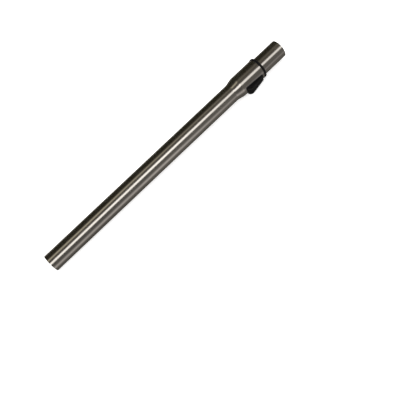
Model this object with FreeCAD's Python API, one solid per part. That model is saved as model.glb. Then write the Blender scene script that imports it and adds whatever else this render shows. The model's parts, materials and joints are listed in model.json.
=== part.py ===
"""Telescopic vacuum cleaner wand, pushed together and locked, lying on the floor on its button.

Everything is drawn along +X in millimetres. X = 0 is the lower end, which goes into the floor
tool, and the hose socket points along +X. The release button looks along +Z. at_rest() then lays
the finished wand down: on its lower end, on the mouth ring and on one shoulder of the button.
"""
import FreeCAD
import Part
import math
import os
from FreeCAD import Placement, Rotation, Vector

# Outer tube: a plain steel tube with its upper end swaged out to hold the lock
TUBE_OD = 35.0
TUBE_WALL = 0.7
TUBE_LENGTH = 453.0
SWAGE_LENGTH = 15.0
SWAGE_BLEND = 15.0
EDGE_BREAK = 0.25

# Inner tube: slides in the outer one and ends in a wider socket for the hose handle
TUBE_GAP = 0.8
INNER_WALL = 0.6
SOCKET_PLAY = 0.05
SOCKET_SHOWING = 54.1
SHOULDER_LENGTH = 4.0
TRAVEL = 378.0
NOTCH_COUNT = 13
NOTCH_DEPTH = 1.4
NOTCH_PLAY = 0.15
KEYWAY_DEPTH = 1.0
KEYWAY_RADIUS = 2.4
KEYWAY_END_GAP = 1.5

# Mouth ring: covers the cut edge of the head and takes the shoulder of the socket
RING_OVERHANG = 0.75
RING_LENGTH = 4.6
RING_BEVEL = 0.8
RING_SPIGOT = 2.0
RING_PUSH_FIT = 0.02
RING_SEAT_GAP = 0.3

# Guide sleeve: the moulded insert that fills the space in the head and carries tube and button
LOCK_SPACE = 4.05
SLIDE_FIT = 0.15
HEAD_FIT = 0.15
SLEEVE_WALL = 1.2
SLEEVE_INTO_SWAGE = 3.5
RIB_BELOW_FRAME = 3.0
RIB_THICKNESS = 1.6
RIB_ANGLES = (60.0, 95.0, 130.0, 230.0, 265.0, 300.0)
FRAME_WALL = 1.0
WINDOW_FIT = 0.1
WINDOW_CORNER = 2.6
EAR_GAP = 0.6
EAR_LENGTH = 6.8
EAR_LIP = 1.6
SNAP_MOUTH = 2.6

# Release button: a rocker with a high thumb end, hollow below
BUTTON_LENGTH = 40.2
BUTTON_WIDTH = 17.5
BUTTON_LOW_WIDTH = 13.4
BUTTON_TO_SWAGE = 6.3
BUTTON_TO_MOUTH = 5.3
BUTTON_WALL = 1.8
BUTTON_LOW_PROUD = 2.5
THUMB_SLOPE = 9.0
THUMB_ROUND = 8.0
BUTTON_BEVEL = 1.2
BUTTON_GAP = 0.25
SKIRT_DEPTH = 0.55
PRESS_ANGLE = 8.0
PIVOT_DEPTH = 1.85
PIVOT_DIAMETER = 3.0
PIVOT_FIT = 0.05
CHEEK_THICKNESS = 1.8
CHEEK_SPACE = 2.6
CHEEK_CLEARANCE = 0.55
HUB_RADIUS = 2.5
LOCK_FROM_LOW_END = 4.5
LOCK_ARM = 12.0
LOCK_DIAMETER = 4.0
GRIP_COUNT = 5
GRIP_PITCH = 3.4
GRIP_RADIUS = 0.7
GRIP_PROUD = 0.45
GRIP_LENGTH = 10.4

# Return spring under the thumb end
SPRING_OD = 6.4
SPRING_WIRE = 0.7
SPRING_TURNS = 3
SPRING_SIDES = 6
SPRING_BENDS = 12
SPRING_FROM_HIGH_END = 8.0
SPRING_SEAT_PROUD = 0.4
PEG_LENGTH = 1.2
PEG_FIT = 0.3

# End bush and seal: ride on the lower end of the inner tube, inside the outer tube
BUSH_GRIP = 21.5
BUSH_FIT = 0.05
BUSH_RUNNING_FIT = 0.1
BUSH_TAIL = 4.0
BUSH_LIP = 1.4
STOP_GAP = 0.5
NUB_DIAMETER = 5.0
NUB_FROM_END = 9.0
NUB_FIT = 0.1
SEAL_WIDTH = 2.2
SEAL_DEPTH = 1.35
SEAL_RUNNING_FIT = 0.05

# Radii and stations that follow from the sizes above
tube_r = TUBE_OD / 2
tube_bore_r = tube_r - TUBE_WALL
inner_r = tube_bore_r - TUBE_GAP
socket_bore_r = tube_r + SOCKET_PLAY
socket_r = socket_bore_r + INNER_WALL
head_bore_r = inner_r + LOCK_SPACE
head_r = head_bore_r + TUBE_WALL
ring_r = head_r + RING_OVERHANG
sleeve_bore_r = inner_r + SLIDE_FIT
sleeve_r = sleeve_bore_r + SLEEVE_WALL
rib_r = head_bore_r - HEAD_FIT

head_start = TUBE_LENGTH + SWAGE_LENGTH
button_start = head_start + BUTTON_TO_SWAGE
button_end = button_start + BUTTON_LENGTH
head_end = button_end + BUTTON_TO_MOUTH
ring_end = head_end + RING_LENGTH
socket_end = ring_end + SOCKET_SHOWING
shoulder_start = ring_end - SHOULDER_LENGTH
sleeve_start = TUBE_LENGTH + SLEEVE_INTO_SWAGE
sleeve_end = head_end - RING_SPIGOT - BUSH_FIT
bush_top = sleeve_start - TRAVEL - STOP_GAP
inner_start = bush_top - BUSH_GRIP

button_half = BUTTON_WIDTH / 2
button_taper = (BUTTON_WIDTH - BUTTON_LOW_WIDTH) / 2 / BUTTON_LENGTH
skirt_r = head_r - SKIRT_DEPTH
lock_x = button_end - LOCK_FROM_LOW_END
pivot_x = lock_x - LOCK_ARM
high_arm = pivot_x - button_start
low_arm = button_end - pivot_x
pivot_z = head_r - PIVOT_DEPTH
pivot_r = PIVOT_DIAMETER / 2
lock_r = LOCK_DIAMETER / 2
notch_r = lock_r + NOTCH_PLAY
lock_z = inner_r - NOTCH_DEPTH + notch_r
notch_pitch = TRAVEL / (NOTCH_COUNT - 1)
cheek_bottom = inner_r + CHEEK_CLEARANCE
cheek_outer = CHEEK_SPACE / 2 + CHEEK_THICKNESS
lock_length = 2 * cheek_outer
ear_inner = cheek_outer + BUTTON_GAP
keyway_z = -(inner_r - KEYWAY_DEPTH + KEYWAY_RADIUS)
keyway_end = shoulder_start - KEYWAY_END_GAP
frame_low = button_start - BUTTON_GAP - FRAME_WALL
frame_high = button_end + BUTTON_GAP + FRAME_WALL
spring_x = button_start + SPRING_FROM_HIGH_END
spring_r = SPRING_OD / 2
peg_r = spring_r - SPRING_WIRE - PEG_FIT

AXIS = Vector(1, 0, 0)
ACROSS = Vector(0, 1, 0)
UP = Vector(0, 0, 1)
SHARP = (0, 0)
MITRED = 1


def rod(x0, x1, radius):
    """A round bar on the wand's axis."""
    return Part.makeCylinder(radius, x1 - x0, Vector(x0, 0, 0), AXIS)


def collar(x0, x1, bore, radius):
    """A plain ring on the wand's axis."""
    return rod(x0, x1, radius).cut(rod(x0, x1, bore))


def box(x0, x1, y0, y1, z0, z1):
    """A block between two corners."""
    return Part.makeBox(x1 - x0, y1 - y0, z1 - z0, Vector(x0, y0, z0))


def cross_pin(x, z, radius, length):
    """A round bar that lies across the wand, centred on its middle plane."""
    return Part.makeCylinder(radius, length, Vector(x, -length / 2, z), ACROSS)


def rounded_wire(points, radii):
    """A closed outline of straight runs, each corner rounded by its own radius."""
    count = len(points)
    ends = []
    for i, corner in enumerate(points):
        back = (points[i - 1] - corner).normalize()
        ahead = (points[(i + 1) % count] - corner).normalize()
        if radii[i] == 0:
            ends.append((corner, corner, corner))
            continue
        half = back.getAngle(ahead) / 2
        middle = (back + ahead).normalize()
        run = radii[i] / math.tan(half)
        deep = radii[i] / math.sin(half) - radii[i]
        ends.append((corner + back * run, corner + middle * deep, corner + ahead * run))
    edges = []
    for i, (start, middle, stop) in enumerate(ends):
        if radii[i] > 0:
            edges.append(Part.Arc(start, middle, stop).toShape())
        edges.append(Part.LineSegment(stop, ends[(i + 1) % count][0]).toShape())
    return Part.Wire(edges)


def slab(wire, y0, y1):
    """An outline in the XZ plane, extruded from y0 to y1."""
    face = Part.Face(wire)
    face.translate(Vector(0, y0, 0))
    return face.extrude(Vector(0, y1 - y0, 0))


def turned(stations, blends):
    """A solid of revolution under a line of (x, radius) stations, each inner corner blended."""
    line = [Vector(x, 0, r) for x, r in stations]
    first, last = stations[0][0], stations[-1][0]
    points = [Vector(first, 0, 0)] + line + [Vector(last, 0, 0)]
    radii = [0, 0] + list(blends) + [0, 0]
    return Part.Face(rounded_wire(points, radii)).revolve(Vector(0, 0, 0), AXIS, 360)


def inside(stations, blends, wall):
    """The stations and blends of the surface that lies one wall inside a turned surface."""
    slopes = [math.atan2(b[1] - a[1], b[0] - a[0]) for a, b in zip(stations, stations[1:])]
    moved = [(stations[0][0], stations[0][1] - wall)]
    radii = []
    for corner, before, after, blend in zip(stations[1:-1], slopes, slopes[1:], blends):
        middle = (before + after) / 2
        reach = wall / math.cos((after - before) / 2)
        moved.append((corner[0] + reach * math.sin(middle), corner[1] - reach * math.cos(middle)))
        radii.append(blend and (blend + wall if after > before else blend - wall))
    moved.append((stations[-1][0], stations[-1][1] - wall))
    return moved, radii


def break_edges(shape, places):
    """Bevels the sharp circular edges that lie at the given places along the axis."""
    edges = [e for e in shape.Edges if e.BoundBox.XLength < EDGE_BREAK / 2
             and any(abs(e.BoundBox.XMin - x) < EDGE_BREAK / 2 for x in places)]
    return shape.makeChamfer(EDGE_BREAK, edges)


def half_width(x, gap=0.0):
    """Half the button's width at a station, or that of a line which lies a gap outside its side."""
    return button_half - (x - button_start) * button_taper + gap * math.hypot(1, button_taper)


def prism(low, high, gap, corner=0.0):
    """A block above the axis whose sides lie a gap outside the button's tapered sides."""
    points = [Vector(x, side * half_width(x, gap), 0)
              for x, side in ((low, -1), (high, -1), (high, 1), (low, 1))]
    return Part.Face(rounded_wire(points, [corner] * len(points))).extrude(UP * 2 * head_r)


def window(gap, corner):
    """A prism with rounded corners that lies a gap outside the button all round."""
    return prism(button_start - gap, button_end + gap, gap, corner)


def outer_tube():
    """Lower tube: plain run, swage and head in one drawn piece, with the button window."""
    stations = [(0, tube_r), (TUBE_LENGTH, tube_r), (head_start, head_r), (head_end, head_r)]
    blends = [SWAGE_BLEND, SWAGE_BLEND]
    shape = turned(stations, blends).cut(turned(*inside(stations, blends, TUBE_WALL)))
    shape = break_edges(shape, (0, head_end))
    return shape.cut(window(BUTTON_GAP + FRAME_WALL + WINDOW_FIT, WINDOW_CORNER + WINDOW_FIT))


def press_tools(grow):
    """The lock notches and the keyway that are pressed into the inner tube, grown by a wall."""
    tools = [cross_pin(lock_x - i * notch_pitch, lock_z, notch_r + grow, 2 * inner_r)
             for i in range(NOTCH_COUNT)]
    low = inner_start - KEYWAY_RADIUS
    tools.append(Part.makeCylinder(KEYWAY_RADIUS + grow, keyway_end + grow - low,
                                   Vector(low, 0, keyway_z), AXIS))
    return tools


def inner_envelope(gain=0.0):
    """Outside of the inner tube with its notches and keyway, grown for a fit around it."""
    stations = [(inner_start, inner_r + gain), (shoulder_start, inner_r + gain),
                (ring_end, socket_r + gain), (socket_end, socket_r + gain)]
    return turned(stations, SHARP).cut(press_tools(-gain))


def nub_tools(radius, inner, outer):
    """Two round plugs that point sideways through the lower end of the inner tube."""
    x = inner_start + NUB_FROM_END
    return [Part.makeCylinder(radius, outer - inner, Vector(x, side * inner, 0), ACROSS * side)
            for side in (-1, 1)]


def inner_tube():
    """Upper tube: a thin wall with pressed notches, a keyway and the swaged hose socket."""
    stations = [(inner_start, inner_r), (shoulder_start, inner_r),
                (ring_end, socket_r), (socket_end, socket_r)]
    bore = turned(*inside(stations, SHARP, INNER_WALL))
    shape = inner_envelope().cut(bore.cut(press_tools(INNER_WALL)))
    shape = break_edges(shape, (socket_end,))
    return shape.cut(nub_tools(NUB_DIAMETER / 2 + NUB_FIT, 0, 2 * inner_r))


def mouth_ring():
    """Black ring on the mouth: a flange over the tube edge, a spigot pushed into the head, and a
    funnel that takes the shoulder of the socket."""
    low = head_end - RING_SPIGOT
    flange = rod(head_end, ring_end, ring_r)
    flange = flange.makeChamfer(RING_BEVEL, [e for e in flange.Edges
                                             if e.BoundBox.XMin > ring_end - RING_BEVEL])
    shape = flange.fuse(rod(low, head_end, head_bore_r - RING_PUSH_FIT))
    funnel = turned([(low, sleeve_bore_r), (shoulder_start - RING_SEAT_GAP, sleeve_bore_r),
                     (ring_end, socket_r + RING_SEAT_GAP)], SHARP[:1])
    return shape.cut(funnel).removeSplitter()


def sleeve_frame():
    """Upright wall of the sleeve that fills the window around the button."""
    outer = window(BUTTON_GAP + FRAME_WALL, WINDOW_CORNER)
    return outer.common(collar(frame_low, frame_high, sleeve_bore_r, head_r - SLIDE_FIT))


def ear_outer():
    """Outer face of the ears, clear of the button's side walls where they are closest."""
    return half_width(pivot_x + EAR_LENGTH / 2, -BUTTON_WALL) - EAR_GAP


def sleeve_ear(side):
    """One of the two ears beside the button's cheeks, with a snap seat for the pivot pin."""
    y0, y1 = sorted((side * ear_inner, side * ear_outer()))
    top = pivot_z + EAR_LIP
    ear = box(pivot_x - EAR_LENGTH / 2, pivot_x + EAR_LENGTH / 2, y0, y1, 0, top)
    ear = ear.cut(rod(pivot_x - EAR_LENGTH, pivot_x + EAR_LENGTH, sleeve_bore_r))
    ear = ear.cut(cross_pin(pivot_x, pivot_z, pivot_r + PIVOT_FIT, 2 * head_r))
    return ear.cut(box(pivot_x - SNAP_MOUTH / 2, pivot_x + SNAP_MOUTH / 2, y0, y1, pivot_z, top))


def sleeve_rib(angle):
    """A lengthwise rib between the sleeve and the head, turned round the axis from the button."""
    low = frame_low - RIB_BELOW_FRAME
    half = RIB_THICKNESS / 2
    rib = box(low, sleeve_end, -half, half, (sleeve_bore_r + sleeve_r) / 2, rib_r)
    rib.rotate(Vector(0, 0, 0), AXIS, angle)
    return rib.common(rod(low, sleeve_end, rib_r))


def guide_sleeve():
    """Insert in the head: bush for the inner tube, key, ribs, window frame, ears and spring peg."""
    key = Part.makeCylinder(KEYWAY_RADIUS - NOTCH_PLAY, sleeve_end - frame_low,
                            Vector(frame_low, 0, keyway_z), AXIS)
    key = key.common(rod(frame_low, sleeve_end, sleeve_r))
    shape = collar(sleeve_start, sleeve_end, sleeve_bore_r, sleeve_r)
    shape = shape.fuse([sleeve_frame(), key] + [sleeve_rib(angle) for angle in RIB_ANGLES])

    pocket = window(BUTTON_GAP, WINDOW_CORNER - FRAME_WALL)
    shape = shape.cut(pocket.cut(rod(sleeve_start, sleeve_end, sleeve_r)))
    shape = shape.cut(sleeve_slots())
    peg = Part.makeCylinder(peg_r, PEG_LENGTH + SLEEVE_WALL, Vector(spring_x, 0, sleeve_bore_r), UP)
    peg = peg.cut(rod(button_start, button_end, sleeve_bore_r))
    return shape.fuse([sleeve_ear(1), sleeve_ear(-1), peg]).removeSplitter()


def sleeve_slots():
    """Openings in the floor of the pocket: for the end wall and skirts of the pressed button, and for
    the cheeks with the lock pin."""
    low, high = button_start - BUTTON_GAP, pivot_x - EAR_LENGTH / 2 - BUTTON_WALL
    floor = prism(button_start + BUTTON_WALL + 2 * BUTTON_GAP, pivot_x, -BUTTON_WALL - BUTTON_GAP)
    walls = prism(low, high, BUTTON_GAP).cut(floor)
    cheeks = cheek_outer + BUTTON_GAP / 2
    middle = box(pivot_x - HUB_RADIUS - BUTTON_GAP, button_end - FRAME_WALL / 2,
                 -cheeks, cheeks, 0, 2 * head_r)
    return [walls, middle]


def thumb_z(x, depth=0.0):
    """Height of the thumb face above the axis, or of a plane that lies a depth below it."""
    slope = math.radians(THUMB_SLOPE)
    low = head_r + BUTTON_LOW_PROUD - depth / math.cos(slope)
    return low + (button_end - x) * math.tan(slope)


def arc_meets_thumb(radius, side, depth):
    """Where a circle about the pivot meets the thumb plane, on its high (-1) or low (1) side."""
    slope = math.radians(THUMB_SLOPE)
    distance = (thumb_z(pivot_x, depth) - pivot_z) * math.cos(slope)
    along = side * math.sqrt(radius ** 2 - distance ** 2)
    x = pivot_x + along * math.cos(slope) + distance * math.sin(slope)
    z = pivot_z - along * math.sin(slope) + distance * math.cos(slope)
    return Vector(x, 0, z)


def button_outline(depth):
    """Side view of the button, or of the hollow a depth inside it: both ends are round the pivot."""
    high_r = high_arm - depth
    low_r = low_arm - depth
    bottom = pivot_z - HUB_RADIUS
    drop = HUB_RADIUS
    p1 = Vector(pivot_x - math.sqrt(high_r ** 2 - drop ** 2), 0, bottom)
    p2 = arc_meets_thumb(high_r, -1, depth)
    p3 = arc_meets_thumb(low_r, 1, depth)
    p4 = Vector(pivot_x + math.sqrt(low_r ** 2 - drop ** 2), 0, bottom)
    return Part.Wire([
        Part.Arc(p1, Vector(pivot_x - high_r, 0, pivot_z), p2).toShape(),
        Part.LineSegment(p2, p3).toShape(),
        Part.Arc(p3, Vector(pivot_x + low_r, 0, pivot_z), p4).toShape(),
        Part.LineSegment(p4, p1).toShape()])


def button_wedge(depth):
    """Tapered wedge with a round thumb end: the button's outside, or the hollow a depth inside it."""
    body = slab(button_outline(depth), -BUTTON_WIDTH, BUTTON_WIDTH)
    thumb_edge = arc_meets_thumb(high_arm - depth, -1, depth)
    body = body.makeFillet(THUMB_ROUND - depth, [e for e in body.Edges
                                                 if e.CenterOfMass.distanceToPoint(thumb_edge) < EDGE_BREAK])
    return body.common(prism(button_start - BUTTON_WALL, button_end + BUTTON_WALL, -depth))


def button_body():
    """Outer form of the button with soft edges, cut off below by the round of the head."""
    body = button_wedge(0)
    rims = [e for e in body.Edges
            if abs(abs(e.CenterOfMass.y) - half_width(e.CenterOfMass.x)) < EDGE_BREAK
            and e.CenterOfMass.z > pivot_z - HUB_RADIUS + EDGE_BREAK]
    body = body.makeChamfer(BUTTON_BEVEL, rims)
    return body.cut(rod(button_start - BUTTON_WIDTH, button_end + BUTTON_WIDTH, skirt_r))


def button_cheek(side):
    """One of the two webs under the thumb wall that hold the pivot pin and the lock pin."""
    y0, y1 = sorted((side * CHEEK_SPACE / 2, side * cheek_outer))
    left, right = pivot_x - HUB_RADIUS, lock_x + lock_r + BUTTON_WALL / 2
    points = [Vector(left, 0, thumb_z(left, BUTTON_WALL / 2)), Vector(left, 0, cheek_bottom),
              Vector(right, 0, cheek_bottom), Vector(right, 0, thumb_z(right, BUTTON_WALL / 2))]
    return slab(rounded_wire(points, [0, HUB_RADIUS, BUTTON_WALL / 2, 0]), y0, y1)


def spring_seat_z():
    """Height of the flat seat under the thumb wall that the spring pushes on."""
    return thumb_z(spring_x + spring_r, BUTTON_WALL) - SPRING_SEAT_PROUD


def release_button():
    """Rocker: press the thumb end and the lock pin lifts out of its notch."""
    shape = button_body().cut(button_wedge(BUTTON_WALL))
    seat_z = spring_seat_z()
    seat = Part.makeCylinder(spring_r, thumb_z(spring_x, BUTTON_WALL / 2) - seat_z,
                             Vector(spring_x, 0, seat_z), UP)
    peg = Part.makeCylinder(peg_r, PEG_LENGTH + SPRING_SEAT_PROUD,
                            Vector(spring_x, 0, seat_z - PEG_LENGTH), UP)
    shape = shape.fuse([button_cheek(1), button_cheek(-1), seat, peg] + grip_ridges())
    shape = shape.cut([cross_pin(pivot_x, pivot_z, pivot_r, 2 * ear_inner),
                       cross_pin(lock_x, lock_z, lock_r, lock_length)])
    return shape.removeSplitter()


def grip_ridges():
    """Low round ridges across the thumb face, from the high end down."""
    first = button_start + THUMB_ROUND + GRIP_PITCH
    ridges = []
    for i in range(GRIP_COUNT):
        x = first + i * GRIP_PITCH
        ridges.append(cross_pin(x, thumb_z(x, GRIP_RADIUS - GRIP_PROUD), GRIP_RADIUS, GRIP_LENGTH))
    return ridges


def pivot_pin():
    """Steel pin that the button rocks on: tight in the cheeks, free in the sleeve's ears."""
    return cross_pin(pivot_x, pivot_z, pivot_r, 2 * ear_outer())


def lock_pin():
    """Steel cross pin pressed into the cheeks; it drops into the notches of the inner tube."""
    return cross_pin(lock_x, lock_z, lock_r, lock_length)


def button_spring():
    """Compression spring between the sleeve floor and the thumb wall, its wire in short straight runs."""
    mean_r = spring_r - SPRING_WIRE / 2
    low = sleeve_r + SPRING_WIRE / 2
    high = spring_seat_z() - SPRING_WIRE / 2
    runs = SPRING_TURNS * SPRING_BENDS
    points = []
    for i in range(runs + 1):
        out = Rotation(UP, 360 * i / SPRING_BENDS).multVec(AXIS) * mean_r
        points.append(out + Vector(spring_x, 0, low + (high - low) * i / runs))
    turn = 360 / SPRING_SIDES
    corners = [Rotation(ACROSS, turn * i).multVec(AXIS) * SPRING_WIRE / 2 for i in range(SPRING_SIDES + 1)]
    section = Part.makePolygon([points[0] + corner for corner in corners])
    return Part.makePolygon(points).makePipeShell([section], True, False, MITRED)


def end_bush():
    """Slide bush snapped on the lower end of the inner tube; it runs in the outer tube and stops it."""
    low = inner_start - BUSH_TAIL
    run_r = tube_bore_r - BUSH_RUNNING_FIT
    tail_bore = inner_r - INNER_WALL - BUSH_LIP
    shape = rod(inner_start - BUSH_FIT, bush_top, run_r).cut(inner_envelope(BUSH_FIT))
    shape = shape.fuse(collar(low, inner_start - BUSH_FIT, tail_bore, run_r))
    shape = shape.cut(collar(low, low + SEAL_WIDTH, run_r - SEAL_DEPTH, run_r + SEAL_DEPTH))
    nubs = nub_tools(NUB_DIAMETER / 2, inner_r - INNER_WALL, inner_r + BUSH_FIT * 2)
    return shape.fuse(nubs).removeSplitter()


def end_seal():
    """Rubber ring moulded on the tail of the end bush that keeps the suction in."""
    low = inner_start - BUSH_TAIL
    bore = tube_bore_r - BUSH_RUNNING_FIT - SEAL_DEPTH
    return collar(low, low + SEAL_WIDTH, bore, tube_bore_r - SEAL_RUNNING_FIT)


PIECES = {
    "outer_tube": outer_tube,
    "inner_tube": inner_tube,
    "mouth_ring": mouth_ring,
    "guide_sleeve": guide_sleeve,
    "release_button": release_button,
    "pivot_pin": pivot_pin,
    "lock_pin": lock_pin,
    "button_spring": button_spring,
    "end_bush": end_bush,
    "end_seal": end_seal,
}


def lie_angle():
    """Slope of the axis when the lower end and the mouth ring both touch the floor."""
    return math.degrees(math.atan((ring_r - tube_r) / head_end))


def roll_angle():
    """Turn about the axis that brings one shoulder of the button's thumb end to the floor."""
    centre = arc_meets_thumb(high_arm - THUMB_ROUND, -1, THUMB_ROUND)
    floor = tube_r + centre.x * math.tan(math.radians(lie_angle()))
    up = centre.z + THUMB_ROUND - BUTTON_BEVEL
    side = half_width(centre.x)
    from_down = math.atan2(side, up) + math.acos(floor / math.hypot(up, side))
    return 180.0 - math.degrees(from_down)


def at_rest(shapes):
    """Placement that lays the wand down with the floor at Z = 0 and its box centred on the origin."""
    lay = Rotation(ACROSS, -lie_angle()).multiply(Rotation(AXIS, roll_angle()))
    turned_over = Placement(Vector(0, 0, 0), lay)
    lying = Part.makeCompound([s.copy() for s in shapes])
    lying.Placement = turned_over
    space = lying.optimalBoundingBox()
    middle = Vector((space.XMin + space.XMax) / 2, (space.YMin + space.YMax) / 2, space.ZMin)
    return Placement(-middle, lay)


def main():
    """Builds every piece, lays the wand down and writes one STEP file for each piece."""
    os.makedirs("parts", exist_ok=True)
    shapes = {name: make() for name, make in PIECES.items()}
    rest = at_rest(shapes.values())
    for name, shape in shapes.items():
        shape.Placement = rest.multiply(shape.Placement)
        shape.exportStep(os.path.join("parts", name + ".step"))
    return shapes, rest


shapes, rest = main()
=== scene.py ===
import json
import math
import bmesh
import bpy
import numpy as np
from bpy.props import FloatProperty, FloatVectorProperty, IntProperty, PointerProperty
from mathutils import Matrix, Vector


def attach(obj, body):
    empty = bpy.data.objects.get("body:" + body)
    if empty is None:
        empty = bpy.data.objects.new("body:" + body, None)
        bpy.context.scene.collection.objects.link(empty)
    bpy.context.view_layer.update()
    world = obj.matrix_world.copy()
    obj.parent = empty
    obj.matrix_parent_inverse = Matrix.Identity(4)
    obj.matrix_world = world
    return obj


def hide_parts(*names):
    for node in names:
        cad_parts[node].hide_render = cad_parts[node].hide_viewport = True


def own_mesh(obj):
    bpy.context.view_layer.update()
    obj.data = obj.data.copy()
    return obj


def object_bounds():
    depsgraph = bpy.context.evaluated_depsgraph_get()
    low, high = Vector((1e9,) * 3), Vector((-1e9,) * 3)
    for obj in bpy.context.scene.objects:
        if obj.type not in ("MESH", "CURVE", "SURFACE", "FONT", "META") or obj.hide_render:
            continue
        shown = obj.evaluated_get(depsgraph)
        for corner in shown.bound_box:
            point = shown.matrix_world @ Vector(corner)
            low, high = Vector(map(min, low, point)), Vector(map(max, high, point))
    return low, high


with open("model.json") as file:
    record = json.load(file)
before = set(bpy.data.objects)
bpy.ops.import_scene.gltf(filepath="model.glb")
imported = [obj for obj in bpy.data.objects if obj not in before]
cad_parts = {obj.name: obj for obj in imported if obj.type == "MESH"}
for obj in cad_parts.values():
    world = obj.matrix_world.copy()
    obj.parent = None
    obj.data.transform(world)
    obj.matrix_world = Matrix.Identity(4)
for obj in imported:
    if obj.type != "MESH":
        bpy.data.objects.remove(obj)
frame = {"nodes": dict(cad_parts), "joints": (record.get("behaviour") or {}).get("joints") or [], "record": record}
CAD_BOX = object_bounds()

bl_info = {
    "name": "Telescopic vacuum wand",
    "version": (1, 0, 0),
    "blender": (4, 5, 0),
    "location": "3D View > Sidebar > Wand",
    "description": "Dresses the telescopic vacuum wand: tubes, mouth ring, release button, lock and studio",
    "category": "Add Mesh",
}

MM = 0.001
JOINTS = {joint["name"]: joint for joint in frame["joints"]}
MOUNTS = {mount["name"]: mount for mount in frame["record"]["mounts"]}
ALONG = np.array(JOINTS["tube_slide"]["axis"])
ACROSS = -np.array(JOINTS["button_press"]["axis"])
OUT = np.cross(ALONG, ACROSS)
EDGE_BREAK = 0.25 * MM
TOOL_END = MOUNTS["tool_end"]
LOWER_END = np.array(TOOL_END["pos_m"]) - ALONG * (TOOL_END["dims"]["length_mm"] * MM / 2 + EDGE_BREAK)
PIVOT = np.array(JOINTS["button_press"]["pos_m"]) - LOWER_END
PIVOT_X = float(PIVOT @ ALONG)
PIVOT_Z = float(PIVOT @ OUT)
TRAVEL = JOINTS["tube_slide"]["range_m"][1]
WELD = 1e-6
SLIVER = 1e-8
SMOOTH_ANGLE = math.radians(40)
CREASE = 0.25 * MM
NO_PRESS = 1.0
FLOOR_DROP = 0.1 * MM
SENSOR = 36.0
FINE_BUMP = 0.1 * MM
BOX_BOW = math.radians(-4.0)
ROOM_STRENGTH = 1.75


def length(name, description, millimetres):
    """A size property in metres, with its default given in millimetres."""
    return FloatProperty(name=name, description=description, default=millimetres * MM, unit="LENGTH",
                         subtype="DISTANCE", precision=5)


def colour(name, description, default):
    """A colour property with values from 0 to 1."""
    return FloatVectorProperty(name=name, description=description, default=default, size=3, min=0.0,
                               max=1.0, subtype="COLOR")


class WandTubeSizes(bpy.types.PropertyGroup):
    """Sizes of the two steel tubes, along the wand from its lower end."""
    tube_radius: length("Tube radius", "Outside of the lower tube", TOOL_END["dims"]["r_mm"])
    tube_wall: length("Tube wall", "Sheet thickness of the lower tube", 0.7)
    plain_length: length("Plain length", "Lower end to the start of the swage", 453.0)
    swage_length: length("Swage length", "Length of the cone below the head", 15.0)
    swage_blend: length("Swage blend", "Radius of the bends at both ends of the cone", 15.0)
    head_radius: length("Head radius", "Outside of the head that holds the lock", 20.75)
    head_end: length("Head end", "Lower end to the mouth of the head", 519.8)
    window_low: length("Window start", "Lower edge of the button window", 472.95)
    window_high: length("Window end", "Upper edge of the button window", 515.85)
    window_half: length("Window half width", "Half the width of the window at its lower edge", 10.17)
    window_corner: length("Window corner", "Corner radius of the button window", 2.7)
    ring_length: length("Ring length", "Length of the mouth ring that shows", 4.6)
    ring_spigot: length("Ring spigot", "How far the mouth ring goes into the head", 2.0)
    ring_overhang: length("Ring overhang", "How far the mouth ring stands out over the head", 0.75)
    inner_radius: length("Inner radius", "Outside of the sliding tube", 16.0)
    inner_wall: length("Inner wall", "Sheet thickness of the sliding tube", 0.6)
    inner_start: length("Inner start", "Lower edge of the sliding tube when pushed in", 56.5)
    shoulder_start: length("Shoulder start", "Where the hose socket starts to widen", 520.4)
    shoulder_end: length("Shoulder end", "Where the hose socket has its full width", 524.4)
    socket_radius: length("Socket radius", "Outside of the hose socket", 18.15)
    socket_end: length("Socket end", "Upper edge of the hose socket", 578.5)


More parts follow.
